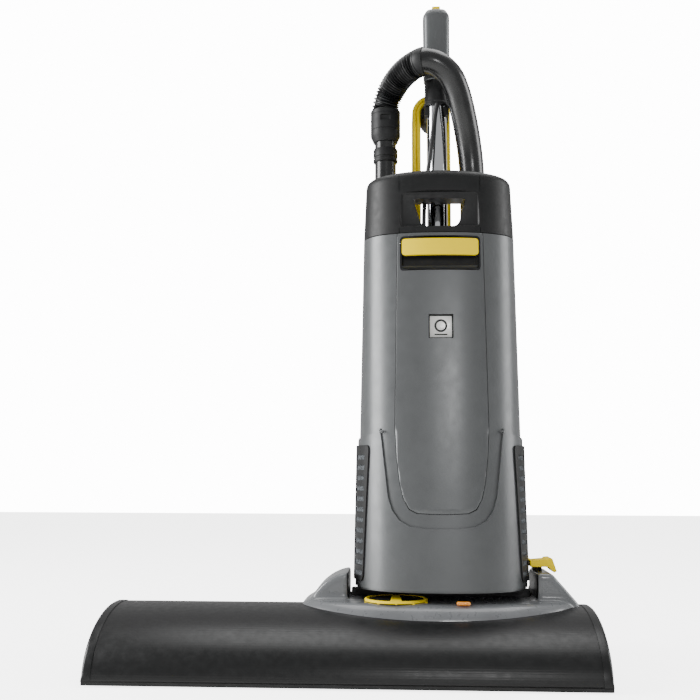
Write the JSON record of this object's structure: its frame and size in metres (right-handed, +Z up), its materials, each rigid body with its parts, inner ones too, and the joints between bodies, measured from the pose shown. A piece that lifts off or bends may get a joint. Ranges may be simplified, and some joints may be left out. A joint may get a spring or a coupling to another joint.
{
  "type": "upright vacuum cleaner",
  "caption": "Wide-head upright vacuum cleaner with a tilting bag body set right of centre, straight grip handle, stowed hose and wand, and a cord hank.",
  "frame": {"origin": "on the floor, under the middle of the bounding box", "axes": "+Z up, +X to the machine's right seen from the front, +Y to its back"},
  "size_m": [0.69, 0.35, 1.031],
  "materials": {
    "grey_body": "satin metallic grey",
    "black_trim": "fine grained",
    "yellow_trim": "satin",
    "rubber_black": "matt",
    "cord_yellow": "satin jacket",
    "steel": "brushed",
    "chrome": "polished",
    "bristle": "matt",
    "paper": "matt",
    "badge_white": "gloss",
    "lamp_orange": "translucent"
  },
  "bodies": {
    "base": {"head_cover": "black_trim", "bumper_strip": "rubber_black", "base_frame": "black_trim", "sole_plate": "steel", "base_housing": "grey_body", "brush_motor": "steel", "rear_axle": "steel", "indicator_lamp": "lamp_orange", "pedal_bracket": "black_trim", "transfer_hose": "rubber_black", "drive_belt": "rubber_black"},
    "brush": {"brush_core": "steel", "brush_bristles": "bristle"},
    "motor_shaft": {"motor_pulley": "steel"},
    "wheel_l": {"wheel_left": "grey_body", "tyre_left": "rubber_black"},
    "wheel_r": {"wheel_right": "grey_body", "tyre_right": "rubber_black"},
    "carriage": {"roller_carriage": "black_trim"},
    "roller": {"front_roller": "rubber_black"},
    "dial": {"height_dial": "yellow_trim", "dial_face": "black_trim", "dial_pointer": "yellow_trim"},
    "pedal": {"release_pedal": "yellow_trim"},
    "body": {"tilt_yoke": "steel", "body_shell": "grey_body", "body_floor": "black_trim", "lower_shell": "grey_body", "grille_left": "black_trim", "grille_right": "black_trim", "top_cover": "black_trim", "filter_bag": "paper", "suction_motor": "steel", "motor_filter": "paper", "bag_shelf": "black_trim", "handle_tube": "chrome", "handle_socket": "black_trim", "grip": "grey_body", "tube_bracket": "black_trim", "wand_rest": "black_trim", "cord_hook_upper": "black_trim", "cord_hook_lower": "black_trim", "cord_hank": "cord_yellow", "cord_gland": "black_trim", "cord_lead": "cord_yellow", "cord_tail": "cord_yellow", "mains_plug": "rubber_black", "switch_cable": "rubber_black", "suction_hose": "rubber_black", "bent_pipe": "black_trim"},
    "door": {"door_panel": "grey_body", "latch_pocket": "black_trim", "badge_plate": "badge_white"},
    "latch": {"door_latch": "yellow_trim"},
    "button": {"power_button": "yellow_trim"},
    "wand": {"wand_tube": "black_trim", "wand_collar": "black_trim", "hose_cuff": "black_trim"}
  },
  "joints": [
    {"name": "body_tilt", "type": "hinge", "parent": "base", "child": "body", "pos_m": [0.133, 0.05, 0.095], "axis": [-1, 0, 0], "range_deg": [0, 65], "deforming": ["transfer_hose"]},
    {"name": "door_open", "type": "hinge", "parent": "body", "child": "door", "pos_m": [0.133, -0.083, 0.2235], "axis": [1, 0, 0], "range_deg": [0, 75]},
    {"name": "latch_pull", "type": "hinge", "parent": "door", "child": "latch", "pos_m": [0.133, -0.045, 0.6265], "axis": [-1, 0, 0], "range_deg": [0, 14], "stiffness_Nm_per_rad": 0.3},
    {"name": "button_press", "type": "slide", "parent": "body", "child": "button", "axis": [0, 0, -1], "range_m": [0, 0.0025], "stiffness_N_per_m": 300},
    {"name": "wand_lift", "type": "slide", "parent": "body", "child": "wand", "axis": [0, 0, 1], "range_m": [0, 0.04], "deforming": ["suction_hose"]},
    {"name": "wheel_left_spin", "type": "hinge", "parent": "base", "child": "wheel_l", "pos_m": [-0.026, 0.12, 0.055], "axis": [1, 0, 0], "continuous": true},
    {"name": "wheel_right_spin", "type": "hinge", "parent": "base", "child": "wheel_r", "pos_m": [0.292, 0.12, 0.055], "axis": [1, 0, 0], "continuous": true},
    {"name": "brush_spin", "type": "hinge", "parent": "base", "child": "brush", "pos_m": [0, -0.104, 0.028], "axis": [1, 0, 0], "continuous": true},
    {"name": "motor_spin", "type": "hinge", "parent": "base", "child": "motor_shaft", "pos_m": [-0.316, -0.016, 0.058], "axis": [1, 0, 0], "continuous": true},
    {"name": "pedal_press", "type": "hinge", "parent": "base", "child": "pedal", "pos_m": [0.281, 0.026, 0.149], "axis": [1, 0, 0], "range_deg": [0, 8], "stiffness_Nm_per_rad": 0.6},
    {"name": "dial_turn", "type": "hinge", "parent": "base", "child": "dial", "pos_m": [0.067, -0.045, 0.1], "axis": [0, 0, -1], "range_deg": [0, 180]},
    {"name": "carriage_slide", "type": "slide", "parent": "base", "child": "carriage", "axis": [0, 0, 1], "range_m": [0, 0.008]},
    {"name": "roller_spin", "type": "hinge", "parent": "carriage", "child": "roller", "pos_m": [0.133, -0.02, 0.012], "axis": [1, 0, 0], "continuous": true}
  ],
  "couplings": [
    {"joint": "motor_spin", "follows": "brush_spin", "ratio": 1.7292},
    {"joint": "dial_turn", "follows": "carriage_slide", "rad_per_m": 392.69}
  ]
}
